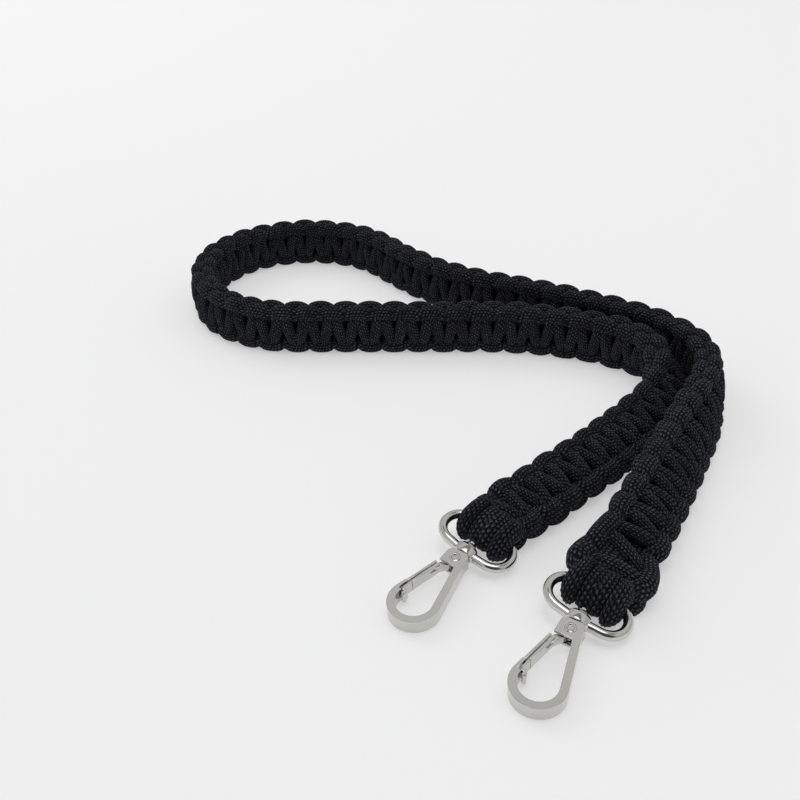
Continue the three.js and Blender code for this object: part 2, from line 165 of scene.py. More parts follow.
class BraidSettings(bpy.types.PropertyGroup):
    """Sizes of the braid, in metres."""

    length: FloatProperty(name="Length", description="Along the braid, from ring bar to ring bar",
                          default=0.7564, unit="LENGTH")
    width: FloatProperty(name="Width", description="Over the side knots", default=0.0214, unit="LENGTH")
    thickness: FloatProperty(name="Thickness", description="Over the crossing cords",
                             default=0.0114, unit="LENGTH")
    pitch: FloatProperty(name="Knot pitch", description="Length of one square knot",
                         default=0.0102, unit="LENGTH")
    knob: FloatProperty(name="Side knot thickness", description="Cord thickness where it bulges at the edge",
                        default=0.0057, unit="LENGTH")
    rib: FloatProperty(name="Crossing cord width", description="Cord width where it crosses the face",
                       default=0.0044, unit="LENGTH")
    columns: IntProperty(name="Knit columns", description="Columns of stitches round each cord", default=15)
    relief: FloatProperty(name="Column relief", description="Height of the knit columns, share of the radius",
                          default=0.05)


class LookSettings(bpy.types.PropertyGroup):
    """Colours of cord and metal."""

    cord_colour: FloatVectorProperty(name="Cord", description="Colour of the knit cotton", subtype="COLOR",
                                     size=4, default=(0.0012, 0.0014, 0.0022, 1))
    # Lighter colour painted on the stitch crowns as a highlight; the grooves keep the dark cord colour as
    # painted shade
    cord_crown_highlight: FloatVectorProperty(name="Cord fuzz", description="Colour of the worn yarn", subtype="COLOR",
                                    size=4, default=(0.16, 0.168, 0.205, 1))
    nickel: FloatVectorProperty(name="Nickel", description="Colour of the plating", subtype="COLOR",
                                size=4, default=(0.66, 0.645, 0.615, 1))
    table: FloatVectorProperty(name="Table", description="Colour of the table", subtype="COLOR",
                               size=4, default=(0.6, 0.6, 0.603, 1))


class StageSettings(bpy.types.PropertyGroup):
    """Camera and light."""

    camera_height: FloatProperty(name="Camera height", description="Above the table",
                                 default=0.188275, unit="LENGTH")
    camera_pitch: FloatProperty(name="Camera pitch", description="Below the horizon",
                                default=32.754 * DEGREE, subtype="ANGLE")
    lens: FloatProperty(name="Lens", description="Focal length on a 36 mm sensor, in mm", default=41.055)
    world_light: FloatProperty(name="World light", description="Strength of the even light", default=1.0)
    table_glow: FloatProperty(name="Table glow", description="How much the lit table evens out the shadows",
                              default=0.42)
    window_light: FloatProperty(name="Window light", description="Power of the window, in watts", default=3.4)


# Geometry helpers

def smoothstep(x):
    x = np.clip(x, 0, 1)
    return x * x * (3 - 2 * x)


def longest_run(inside):
    """Start and end of the longest unbroken run of true values."""
    edges = np.flatnonzero(np.diff(np.concatenate([[0], inside.astype(int), [0]])))
    starts = edges[::2]
    ends = edges[1::2]
    longest = int(np.argmax(ends - starts))
    return starts[longest], ends[longest]


def standing_height(roll, settings):
    """Height of the middle of a rounded section that stands on the table at this roll, in mm."""
    squareness = 2.7
    dual = squareness / (squareness - 1)
    upright = settings.width / MM / 2 * np.abs(np.sin(roll))
    flat = settings.thickness / MM / 2 * np.abs(np.cos(roll))
    return (upright ** dual + flat ** dual) ** (1 / dual)


class Course:
    """The strap's middle line: place and the section's two axes at any distance along it, in mm."""

    STEP = 0.25

    def __init__(self, settings):
        self.length = settings.length / MM
        runs = np.array([row[1] for row in ROUTE]) * self.length
        marks = np.concatenate([[0], np.cumsum(runs)])
        turns = np.concatenate([[0], np.cumsum([row[2] for row in ROUTE])])
        rolls = [START_ROLL] + [row[3] for row in ROUTE]
        self.grid = np.arange(0, self.length + self.STEP, self.STEP)
        heading = (START_HEADING + np.interp(self.grid, marks, turns)) * DEGREE
        half = (START_HEADING + np.interp(self.grid + self.STEP / 2, marks, turns)) * DEGREE
        self.heading = heading
        self.roll = np.interp(self.grid, marks, rolls) * DEGREE
        x = START_PLACE[0] + np.concatenate([[0], np.cumsum(np.cos(half[:-1]) * self.STEP)])
        y = START_PLACE[1] + np.concatenate([[0], np.cumsum(np.sin(half[:-1]) * self.STEP)])
        self.x = x
        self.y = y
        self.z = standing_height(self.roll, settings)

    def at(self, distance):
        """Centre, across and facing at distances, each as rows of three."""
        d = np.asarray(distance, float)
        heading = np.interp(d, self.grid, self.heading)
        roll = np.interp(d, self.grid, self.roll)
        beyond = d - np.clip(d, 0, self.length)
        centre = np.stack([np.interp(d, self.grid, self.x) + beyond * np.cos(heading),
                           np.interp(d, self.grid, self.y) + beyond * np.sin(heading),
                           np.interp(d, self.grid, self.z)], -1)
        flat = np.stack([np.sin(heading), -np.cos(heading), 0 * heading], -1)
        up = np.array([0, 0, 1.0])
        across = flat * np.cos(roll)[..., None] - up * np.sin(roll)[..., None]
        facing = flat * np.sin(roll)[..., None] + up * np.cos(roll)[..., None]
        return centre, across, facing, roll

    def place(self, local):
        """World places of rows of (distance, across, facing)."""
        centre, across, facing, _ = self.at(local[:, 0])
        return centre + across * local[:, 1:2] + facing * local[:, 2:3]


def spline(points, spacing):
    """Catmull-Rom curve through rows that start with a place, evenly respaced, and the distances along it."""
    p = np.vstack([2 * points[0] - points[1], points, 2 * points[-1] - points[-2]])
    steps = 8
    t = np.arange(steps)[:, None] / steps
    rows = []
    for i in range(1, len(p) - 2):
        a, b, c, d = p[i - 1], p[i], p[i + 1], p[i + 2]
        rows.append(0.5 * (2 * b + (c - a) * t + (2 * a - 5 * b + 4 * c - d) * t ** 2
                           + (3 * b - a - 3 * c + d) * t ** 3))
    rows.append(p[-2:-1])
    dense = np.vstack(rows)
    reach = np.concatenate([[0], np.cumsum(np.linalg.norm(np.diff(dense[:, :3], axis=0), axis=1))])
    count = max(2, int(round(reach[-1] / spacing)))
    even = np.linspace(0, reach[-1], count + 1)
    return np.stack([np.interp(even, reach, dense[:, k]) for k in range(dense.shape[1])], -1), even


def sweep(mesh_rows, centre, outward, radial, lateral, along, columns, relief=0.0, floor=None):
    """Adds a capped tube with lengthwise columns. Sections are ovals with one axis along outward.

    What would sink below the floor's height is pressed flat on it.
    """
    pressed = 0.02
    sides = 2 * columns
    tangent = np.gradient(centre, axis=0)
    tangent /= np.linalg.norm(tangent, axis=1)[:, None]
    out = outward - (outward * tangent).sum(1)[:, None] * tangent
    for i in range(1, len(out)):
        if np.linalg.norm(out[i]) < 1e-3:
            out[i] = out[i - 1]
    out /= np.linalg.norm(out, axis=1)[:, None]
    side = np.cross(tangent, out)
    angle = 2 * math.pi * np.arange(sides) / sides
    c = np.cos(angle)[None, :, None]
    s = np.sin(angle)[None, :, None]
    swell = 1 + relief * np.cos(columns * angle)[None, :, None]
    rings = centre[:, None, :] + out[:, None, :] * c * swell * radial[:, None, None]
    rings += side[:, None, :] * s * swell * lateral[:, None, None]
    if floor is not None:
        height = rings[..., 2]
        rings[..., 2] = np.where(height < floor, floor + pressed * (height - floor), height)
    start = mesh_rows["count"]
    n = len(centre)
    mesh_rows["points"].append(rings.reshape(-1, 3))
    lay = np.stack([np.broadcast_to(np.cos(angle), (n, sides)),
                    np.broadcast_to(np.sin(angle), (n, sides)),
                    np.broadcast_to(along[:, None], (n, sides))], -1)
    mesh_rows["lay"].append(lay.reshape(-1, 3))
    i = np.arange(n - 1)[:, None] * sides
    k = np.arange(sides)[None, :]
    nxt = (k + 1) % sides
    quads = np.stack([i + k, i + nxt, i + sides + nxt, i + sides + k], -1).reshape(-1, 4) + start
    mesh_rows["faces"].extend(quads.tolist())
    mesh_rows["faces"].append((start + np.arange(sides))[::-1].tolist())
    mesh_rows["faces"].append((start + (n - 1) * sides + np.arange(sides)).tolist())
    mesh_rows["count"] += n * sides


def new_rows():
    return {"points": [], "faces": [], "lay": [], "count": 0}


def object_from_rows(name, rows, material):
    mesh = bpy.data.meshes.new(name)
    points = np.vstack(rows["points"]) * MM
    mesh.from_pydata(points.tolist(), [], rows["faces"])
    lay = mesh.attributes.new("cord_lay", "FLOAT_VECTOR", "POINT")
    lay.data.foreach_set("vector", np.vstack(rows["lay"]).astype(np.float32).ravel())
    mesh.shade_smooth()
    mesh.materials.append(material)
    return new_object(name, mesh)


def new_object(name, data):
    piece = bpy.data.objects.new(name, data)
    bpy.context.scene.collection.objects.link(piece)
    return piece


# Shader groups and materials

def set_inputs(node, values):
    for name, value in values.items():
        node.inputs[name].default_value = value


def noise(group, place, scale, detail, roughness=0.5):
    node = group.nodes.new("ShaderNodeTexNoise")
    set_inputs(node, {"Detail": detail, "Roughness": roughness})
    group.links.new(place.outputs["Object"], node.inputs["Vector"])
    group.links.new(scale, node.inputs["Scale"])
    return node.outputs[0]


def mixed_colour(tree, shader, factor, first, second):
    mix = tree.nodes.new("ShaderNodeMix")
    mix.data_type = "RGBA"
    set_inputs(mix, {"A": first, "B": second})
    tree.links.new(factor, mix.inputs["Factor"])
    tree.links.new(mix.outputs["Result"], shader.inputs["Base Color"])


def bumped(tree, shader, height, strength, distance):
    bump = tree.nodes.new("ShaderNodeBump")
    set_inputs(bump, {"Strength": strength, "Distance": distance})
    tree.links.new(height, bump.inputs["Height"])
    tree.links.new(bump.outputs["Normal"], shader.inputs["Normal"])


def node_group(name, inputs, outputs):
    group = bpy.data.node_groups.new(name, "ShaderNodeTree")
    for label, kind, value in inputs:
        socket = group.interface.new_socket(label, in_out="INPUT", socket_type=kind)
        if value is not None:
            socket.default_value = value
    for label, kind in outputs:
        group.interface.new_socket(label, in_out="OUTPUT", socket_type=kind)
    return group, group.nodes.new("NodeGroupInput"), group.nodes.new("NodeGroupOutput")


def math_node(tree, operation, a, b=None):
    node = tree.nodes.new("ShaderNodeMath")
    node.operation = operation
    for index, value in enumerate((a, b)):
        if value is None:
            continue
        if isinstance(value, (int, float)):
            node.inputs[index].default_value = value
        else:
            tree.links.new(value, node.inputs[index])
    return node.outputs[0]


def knit_group():
    """Lengthwise columns of slanted stitches on a cord: their height and the mask of the grooves between."""
    stagger_per_column = 0.37
    before_zero = 100.5
    group, given, out = node_group(
        "knit stitches",
        [("Lay", "NodeSocketVector", None), ("Columns", "NodeSocketFloat", 15.0),
         ("Stitch length", "NodeSocketFloat", 1.15), ("Slant", "NodeSocketFloat", 0.45)],
        [("Height", "NodeSocketFloat"), ("Groove", "NodeSocketFloat")])
    split = group.nodes.new("ShaderNodeSeparateXYZ")
    group.links.new(given.outputs["Lay"], split.inputs[0])
    angle = math_node(group, "ARCTAN2", split.outputs[1], split.outputs[0])
    turn = math_node(group, "DIVIDE", angle, 2 * math.pi)
    column = math_node(group, "MULTIPLY", turn, given.outputs["Columns"])
    counted = math_node(group, "ADD", column, before_zero)
    inside = math_node(group, "FRACT", counted)
    from_middle = math_node(group, "SUBTRACT", math_node(group, "MULTIPLY", inside, 2.0), 1.0)
    half = math_node(group, "ABSOLUTE", from_middle)
    row = math_node(group, "DIVIDE", split.outputs[2], given.outputs["Stitch length"])
    stagger = math_node(group, "MULTIPLY", math_node(group, "FLOOR", counted), stagger_per_column)
    lean = math_node(group, "ADD", math_node(group, "ADD", row, stagger),
                     math_node(group, "MULTIPLY", half, given.outputs["Slant"]))
    wave = math_node(group, "COSINE", math_node(group, "MULTIPLY", lean, 2 * math.pi))
    leg = math_node(group, "ADD", math_node(group, "MULTIPLY", wave, 0.4), 0.6)
    wale = math_node(group, "SUBTRACT", 1.0, math_node(group, "POWER", half, 2.2))
    height = math_node(group, "MULTIPLY", wale, leg)
    groove = math_node(group, "SUBTRACT", 1.0, height)
    group.links.new(height, out.inputs["Height"])
    group.links.new(groove, out.inputs["Groove"])
    return group


def fibre_group():
    """Fine uneven fibres and lint: a height and a mask of lighter spots."""
    group, given, out = node_group(
        "cotton fibres", [("Scale", "NodeSocketFloat", 1100.0), ("Patch scale", "NodeSocketFloat", 140.0)],
        [("Height", "NodeSocketFloat"), ("Patches", "NodeSocketFloat")])
    place = group.nodes.new("ShaderNodeTexCoord")
    group.links.new(noise(group, place, given.outputs["Scale"], 3, 0.7), out.inputs["Height"])
    group.links.new(noise(group, place, given.outputs["Patch scale"], 4), out.inputs["Patches"])
    return group


def knit_material(look, knit, fibres):
    """Near-black knit with a painted highlight on the stitch crowns and painted shade in the grooves, uneven
    with fibres.
    """
    material = bpy.data.materials.new("knit cord")
    material.use_nodes = True
    tree = material.node_tree
    shader = tree.nodes["Principled BSDF"]
    lay = tree.nodes.new("ShaderNodeAttribute")
    lay.attribute_name = "cord_lay"
    stitches = tree.nodes.new("ShaderNodeGroup")
    stitches.node_tree = knit
    tree.links.new(lay.outputs["Vector"], stitches.inputs["Lay"])
    lint = tree.nodes.new("ShaderNodeGroup")
    lint.node_tree = fibres
    # Painted highlight and shade: the lighter colour follows the stitch height onto the crowns, broken up by
    # the fibre noise, and the grooves stay dark
    crowns = math_node(tree, "POWER", stitches.outputs["Height"], 1.8)
    uneven = math_node(tree, "MULTIPLY", math_node(tree, "SUBTRACT", lint.outputs["Height"], 0.3), 2.6)
    crown_highlight = math_node(tree, "MULTIPLY", crowns, math_node(tree, "MAXIMUM", uneven, 0.05))
    shade = math_node(tree, "MULTIPLY", crown_highlight, math_node(tree, "ADD", lint.outputs["Patches"], 0.45))
    mixed_colour(tree, shader, shade, look.cord_colour, look.cord_crown_highlight)
    rough = math_node(tree, "ADD", math_node(tree, "MULTIPLY", stitches.outputs["Groove"], 0.12), 0.82)
    tree.links.new(rough, shader.inputs["Roughness"])
    set_inputs(shader, {"Specular IOR Level": 0.1, "Sheen Weight": 0.06, "Sheen Roughness": 0.5,
                        "Sheen Tint": (0.5, 0.52, 0.6, 1)})
    fuzz = math_node(tree, "MULTIPLY", lint.outputs["Height"], 0.35)
    bumped(tree, shader, math_node(tree, "ADD", stitches.outputs["Height"], fuzz), 1.0, 0.0004)
    return material


def polish_group():
    """Uneven polish of plated metal: a low height and a finer mask of dull patches."""
    group, given, out = node_group(
        "plated polish", [("Scale", "NodeSocketFloat", 300.0)],
        [("Height", "NodeSocketFloat"), ("Dull", "NodeSocketFloat")])
    place = group.nodes.new("ShaderNodeTexCoord")
    scale = given.outputs["Scale"]
    finer = math_node(group, "MULTIPLY", scale, 9.0)
    group.links.new(noise(group, place, scale, 2), out.inputs["Height"])
    group.links.new(noise(group, place, finer, 5), out.inputs["Dull"])
    return group


def nickel_material(look, polish, name):
    """Polished plating, duller and a little darker in fine patches."""
    dull_share = 0.86
    least_roughness = 0.05
    material = bpy.data.materials.new(name)
    material.use_nodes = True
    tree = material.node_tree
    shader = tree.nodes["Principled BSDF"]
    shader.inputs["Metallic"].default_value = 1.0
    finish = tree.nodes.new("ShaderNodeGroup")
    finish.node_tree = polish
    dull = tuple(c * dull_share for c in look.nickel[:3]) + (1,)
    mixed_colour(tree, shader, finish.outputs["Dull"], look.nickel, dull)
    rough = math_node(tree, "ADD", math_node(tree, "MULTIPLY", finish.outputs["Dull"], 0.12), least_roughness)
    tree.links.new(rough, shader.inputs["Roughness"])
    bumped(tree, shader, finish.outputs["Height"], 0.25, 0.0003)
    return material


def shared_material(name):
    """The material of that name, built with its groups on first use."""
    if name in bpy.data.materials:
        return bpy.data.materials[name]
    look = bpy.context.scene.strap_look
    groups = bpy.data.node_groups
    if name == "knit cord":
        return knit_material(look, groups.get("knit stitches") or knit_group(),
                             groups.get("cotton fibres") or fibre_group())
    return nickel_material(look, groups.get("plated polish") or polish_group(), name)


# Braid

# Where the knots lie: their shift along the strap at distances from the first ring, and the even and real
# distances of the last knots from the second ring
KNOT_SHIFT = ((0, 48, 75, 300), (4.3, 4.3, 1.8, 0))
LOOSE_SPREAD = (
    (-30, 1.6, 6.7, 11.8, 16.9, 27.1, 57.7, 120, 800),
    (-34, 0.5, 4.2, 10.5, 21.5, 31.6, 61.2, 122, 800),
)

# How the real braid departs from the even one: distances along the strap and the side shift in mm, and the
# changes of width and thickness as shares
CUT_END = 3.4
END_EASE = 4
END_WIDTH = 0.92
LOOSE_KNOT = 9.0
LOOSE_REACH = 7.5
LOOSE_WIDER = 0.26
LOOSE_THICKER = 0.16
SLIM_START = 80
SLIM_EASE = 60
SLIMMER = 0.06
SIDE_SHIFT = 0.9
SIDE_SHIFT_RISE = (6, 20)
SIDE_SHIFT_FALL = (130, 40)

# Unevenness of the knots: slide along the strap in mm, and shares of their reach and thickness
UNEVEN_SLIDE = 0.25
UNEVEN_REACH = 0.02
UNEVEN_THICKNESS = 0.04

PATH_SPACING = 1.15
LOOP_PATH_SPACING = 0.6
TABLE_GAP = 0.12

# Core cords: lanes across the strap, and the half path of a loop from inside the braid to the front of the
# ring's bar as distance from the bar, share of the lane, and height over the strap's middle
FILL_LANES = (-2.6, 2.6)
FILL_RADII = (1.6, 2.9)
LOOP_LANES = (-6.7, -2.25, 2.25, 6.7)
LOOP_HALF_WIDTH = 3.5
LOOP_PATH = (
    (18, 0.5, 1.2),
    (12, 0.52, 1.3),
    (8.5, 0.62, 1.5),
    (6.3, 0.78, 2.2),
    (4.4, 0.92, 3.2),
    (2.4, 1, 3.8),
    (0, 1, 3.95),
    (-2.3, 1, 3.2),
    (-3.6, 1, 1.5),
)
LOOP_FRONT = (-4.0, 1, 0)


def braid_table(settings):
    """One period of a knotting cord: share of half a pitch, across, facing, radial and lateral radius."""
    edge = settings.width / MM / 2
    top = settings.thickness / MM / 2
    knob = settings.knob / MM / 2
    rib = settings.rib / MM / 2
    flat = 2.1
    leg = 2.1
    below_top = 0.9
    out = edge - knob
    high = top - knob - below_top
    bar = top - flat
    return (
        (-0.45, -5.7, 0.2, leg, leg),
        (-0.25, -7.0, 1.8, 0.93 * knob, 0.93 * knob),
        (0.10, -out, high, knob, knob),
        (0.50, -out - 0.1, high + 0.2, 1.03 * knob, 1.05 * knob),
        (0.90, -out, high, knob, knob),
        (1.25, -7.0, 1.8, 0.93 * knob, 0.93 * knob),
        (1.45, -5.9, -0.2, leg, leg),
        (1.22, -5.0, -bar + 1.2, flat, rib),
        (1.12, -2.5, -bar + 0.1, flat, rib),
        (0.88, 2.5, -bar + 0.1, flat, rib),
        (0.78, 5.0, -bar + 1.2, flat, rib),
    )


def knotting_cord(settings, mirrored, first, last):
    """Path rows of one knotting cord in the braid's own frame: distance, across, facing, radial, lateral."""
    half = settings.pitch / MM / 2
    table = braid_table(settings)
    flip = -1 if mirrored else 1
    uneven = np.random.default_rng(11 if mirrored else 5)
    rows = []
    for period in range(first, last):
        for side in (0, 1):
            slide, reach, fat = uneven.uniform(-1, 1, 3)
            sign = 1 if side == 0 else -1
            swell = 1 + UNEVEN_THICKNESS * fat
            for share, across, facing, radial, lateral in table:
                distance = (share - 0.5 + side + 2 * period) * half + UNEVEN_SLIDE * slide
                rows.append((distance, across * (1 + UNEVEN_REACH * reach) * sign * flip, facing * flip,
                             radial * swell, lateral * swell))
    return np.array(rows)


class STRAP_OT_braid(bpy.types.Operator):
    """Sweep the two knotting cords of the square-knot braid along the strap's route."""

    bl_idname = "strap.braid"
    bl_label = "Knotting cords"

    def execute(self, context):
        settings = context.scene.strap_braid
        course = Course(settings)
        material = shared_material("knit cord")
        knots = int(course.length / (settings.pitch / MM))
        for name, mirrored in (("knotting_cord_front", False), ("knotting_cord_back", True)):
            rows = knotting_cord(settings, mirrored, -1, knots + 2)
            rows[:, 0] = self.spread_knots(rows[:, 0], course.length)
            first, last = longest_run((rows[:, 0] > CUT_END) & (rows[:, 0] < course.length - CUT_END))
            path, along = self.shaped_path(self.tucked(rows[first:last]), course, settings)
            _, across, facing, _ = course.at(path[:, 3])
            outward = across * path[:, 4:5] * 0.75 + facing * path[:, 5:6] * 1.6
            tube = new_rows()
            sweep(tube, path[:, :3], outward, path[:, 6], path[:, 7], along,
                  settings.columns, settings.relief, TABLE_GAP)
            piece = object_from_rows(name, tube, material)
            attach(piece, "strap_with_rings")
        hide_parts("strap")
        return {"FINISHED"}

    def shaped_path(self, rows, course, settings):
        """The cord's smooth path with narrow ends, the loose knot, the slimmer run and the side shift."""
        distance = rows[:, 0]
        left = course.length - distance
        ease = smoothstep((np.minimum(distance, left) - END_EASE) / (settings.pitch / MM))
        loose = np.exp(-((left - LOOSE_KNOT) / LOOSE_REACH) ** 2)
        slim = 1 - SLIMMER * smoothstep((left - SLIM_START) / SLIM_EASE)
        rise, rise_ease = SIDE_SHIFT_RISE
        fall, fall_ease = SIDE_SHIFT_FALL
        local = rows[:, :3].copy()
        local[:, 1] *= (END_WIDTH + (1 - END_WIDTH) * ease + LOOSE_WIDER * loose) * slim
        local[:, 1] += (SIDE_SHIFT * smoothstep((distance - rise) / rise_ease)
                        * smoothstep((fall - distance) / fall_ease))
        world = course.place(local)
        edge = settings.width / MM / 2
        world[:, 2] -= (1 - slim) * edge * np.abs(np.sin(course.at(distance)[3]))
        radii = rows[:, 3:] * (1 + LOOSE_THICKER * loose)[:, None]
        return spline(np.hstack([world, local, radii]), PATH_SPACING)

    def tucked(self, rows):
        """Adds two rows at each end that turn the cord inward, so its cut end lies inside the braid."""
        ends = []
        for row, forward in ((rows[0], 1), (rows[-1], -1)):
            turn = row * (1, 0.82, 0.7, 0.95, 0.95) - (0.7 * forward, 0, 0, 0, 0)
            inner = row * (1, 0.35, 0.2, 0.6, 0.6) + (0.3 * forward, 0, 0, 0, 0)
            ends.append((inner, turn))
        return np.vstack([ends[0][0], ends[0][1], rows, ends[1][1], ends[1][0]])

    def spread_knots(self, even, length):
        """Moves the evenly spaced knots to where they lie, with the loose knot at the far end."""
        left = np.interp(length - even, *LOOSE_SPREAD)
        return length - left + np.interp(even, *KNOT_SHIFT)


class STRAP_OT_core(bpy.types.Operator):
    """Build the core cords: straight inside the braid and looped round the ring bar at both ends."""

    bl_idname = "strap.core"
    bl_label = "Core cords"

    def execute(self, context):
        settings = context.scene.strap_braid
        course = Course(settings)
        material = shared_material("knit cord")
        tube = new_rows()
        self.fill(tube, course)
        for end in (0, 1):
            for lane in LOOP_LANES:
                self.loop(tube, course, settings, end, lane)
        piece = object_from_rows("core_cords", tube, material)
        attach(piece, "strap_with_rings")
        return {"FINISHED"}

    def fill(self, tube, course):
        """The straight cords inside the braid, hidden but for the gaps between the knots."""
        columns = 8
        middle = np.arange(6, course.length - 5, 2.0)
        still = 0 * middle
        for across in FILL_LANES:
            world = course.place(np.stack([middle, still + across, still], -1))
            facing = course.at(middle)[2]
            sweep(tube, world, facing, still + FILL_RADII[0], still + FILL_RADII[1], middle, columns)

    def loop(self, tube, course, settings, end, lane):
        """One core cord that comes out of the braid over the ring's bar and goes back below it."""
        bar_distance = 0.0 if end == 0 else course.length
        under = [(d, spread, -height) for d, spread, height in reversed(LOOP_PATH)]
        turn = np.array(list(LOOP_PATH) + [LOOP_FRONT] + under)
        distance = turn[:, 0] if end == 0 else course.length - turn[:, 0]
        centre, across, facing, _ = course.at(distance)
        world = centre + across * (lane * turn[:, 1])[:, None] + facing * turn[:, 2:3]
        world[:, 2] += self.lift(end) * smoothstep(1 - turn[:, 0] / 12)
        path, along = spline(np.hstack([world, turn[:, :1]]), LOOP_PATH_SPACING)
        bar, _, face, _ = course.at(np.full(len(path), bar_distance))
        bar[:, 2] += self.lift(end)
        outward = path[:, :3] - bar
        deep = smoothstep((path[:, 3] - 2) / 4)[:, None]
        sign = np.sign((outward * face).sum(1))[:, None]
        outward = outward / np.linalg.norm(outward, axis=1)[:, None] * (1 - deep) + face * sign * deep
        still = 0 * along
        sweep(tube, path[:, :3], outward, still + LOOP_THICKNESS / 2, still + LOOP_HALF_WIDTH, along,
              settings.columns, settings.relief, TABLE_GAP)

    def lift(self, end):
        """How far the ring bar's middle lies above the band's middle line, in mm."""
        settings = bpy.context.scene.strap_braid
        roll = (START_ROLL if end == 0 else ROUTE[-1][3]) * DEGREE
        return BAR_HEIGHT - float(standing_height(np.array(roll), settings))


# Metal helpers

def solid_object(name, points, faces):
    mesh = bpy.data.meshes.new(name)
    mesh.from_pydata([tuple(p) for p in points], [], [tuple(f) for f in faces])
    tidy = bmesh.new()
    tidy.from_mesh(mesh)
    bmesh.ops.recalc_face_normals(tidy, faces=tidy.faces)
    tidy.to_mesh(mesh)
    tidy.free()
    return new_object(name, mesh)


def settle(piece):
    """Puts the result of all the piece's modifiers into its mesh."""
    bpy.context.view_layer.update()
    graph = bpy.context.evaluated_depsgraph_get()
    done = bpy.data.meshes.new_from_object(piece.evaluated_get(graph))
    piece.modifiers.clear()
    piece.data = done


def cut(piece, tool, operation="DIFFERENCE"):
    modifier = piece.modifiers.new("cut", "BOOLEAN")
    modifier.operation = operation
    modifier.solver = "EXACT"
    modifier.object = tool
    settle(piece)
    bpy.data.objects.remove(tool)


def round_edges(piece, width, segments=3):
    modifier = piece.modifiers.new("round", "BEVEL")
    modifier.width = width
    modifier.segments = segments
    modifier.limit_method = "ANGLE"
    modifier.angle_limit = BEVEL_FROM * DEGREE
    modifier.harden_normals = True
    for face in piece.data.polygons:
        face.use_smooth = True
    settle(piece)


def ring_faces(rings, count, sides):
    """Faces from each of the first rings to the next, round again to the first after the last."""
    faces = []
    for i in range(rings):
        here = i * sides
        there = (i + 1) % count * sides
        for k in range(sides):
            n = (k + 1) % sides
            faces.append((here + k, here + n, there + n, there + k))
    return faces


def turned(profile, sides=32):
    """Points and faces of a turned shape round the Y axis. The profile is rows of (place, radius)."""
    points = []
    for place, radius in profile:
        for k in range(sides):
            angle = 2 * math.pi * k / sides
            points.append((radius * math.cos(angle), place, radius * math.sin(angle)))
    faces = ring_faces(len(profile) - 1, len(profile), sides)
    faces.append(tuple(range(sides)))
    faces.append(tuple((len(profile) - 1) * sides + k for k in range(sides)))
    return points, faces


def extruded(outline, low, high):
    """Points and faces of a flat outline raised from low to high."""
    count = len(outline)
    points = [(x, y, low) for x, y in outline] + [(x, y, high) for x, y in outline]
    faces = [tuple(range(count)), tuple(range(count, 2 * count))]
    for k in range(count):
        n = (k + 1) % count
        faces.append((k, n, count + n, count + k))
    return points, faces


def block(x0, x1, y0, y1, z0, z1):
    return extruded([(x0, y0), (x1, y0), (x1, y1), (x0, y1)], z0, z1)


def join(name, pieces):
    """One object with the meshes of all the pieces."""
    merged = bmesh.new()
    for piece in pieces:
        merged.from_mesh(piece.data)
        bpy.data.objects.remove(piece)
    mesh = bpy.data.meshes.new(name)
    merged.to_mesh(mesh)
    merged.free()
    return new_object(name, mesh)


def finish_metal(piece, placement, body, node, sharp):
    """Puts a piece made in mm in its own frame where it belongs, plates it, ties it to its body and hides its
    part node.
    """
    piece.data.transform(Matrix.Scale(MM, 4) @ placement)
    piece.data.shade_smooth()
    piece.data.set_sharp_from_angle(angle=sharp * DEGREE)
    piece.data.materials.clear()
    piece.data.materials.append(shared_material("nickel"))
    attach(piece, body)
    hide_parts(node)


def hook_frame(number):
    """A hook's own frame: origin in the swivel's middle, the tip towards -Y and the top face towards +Z."""
    joints = {joint["name"]: joint for joint in frame["joints"]}
    swivel = joints[f"swivel_{number}"]
    hinge = joints[f"gate_hinge_{number}"]
    y = Vector(swivel["axis"]).normalized()
    z = Vector(hinge["axis"]).normalized()
    placement = Matrix((y.cross(z), y, z)).transposed().to_4x4()
    placement.translation = Vector(swivel["pos_m"]) / MM
    return placement


def ring_frame(course, number):
    """A ring's own frame: the middle of its rear bar is the origin and +Y points into the strap."""
    distance = 0.0 if number == 1 else course.length
    heading = float(np.interp(distance, course.grid, course.heading)) + (0 if number == 1 else math.pi)
    centre = course.at(distance)[0]
    tilt = Matrix.Rotation(RING_PITCH * DEGREE, 4, "X") @ Matrix.Rotation(RING_ROLL * DEGREE, 4, "Y")
    placement = Matrix.Rotation(heading - math.pi / 2, 4, "Z") @ tilt
    placement.translation = (centre[0], centre[1], BAR_HEIGHT)
    return placement


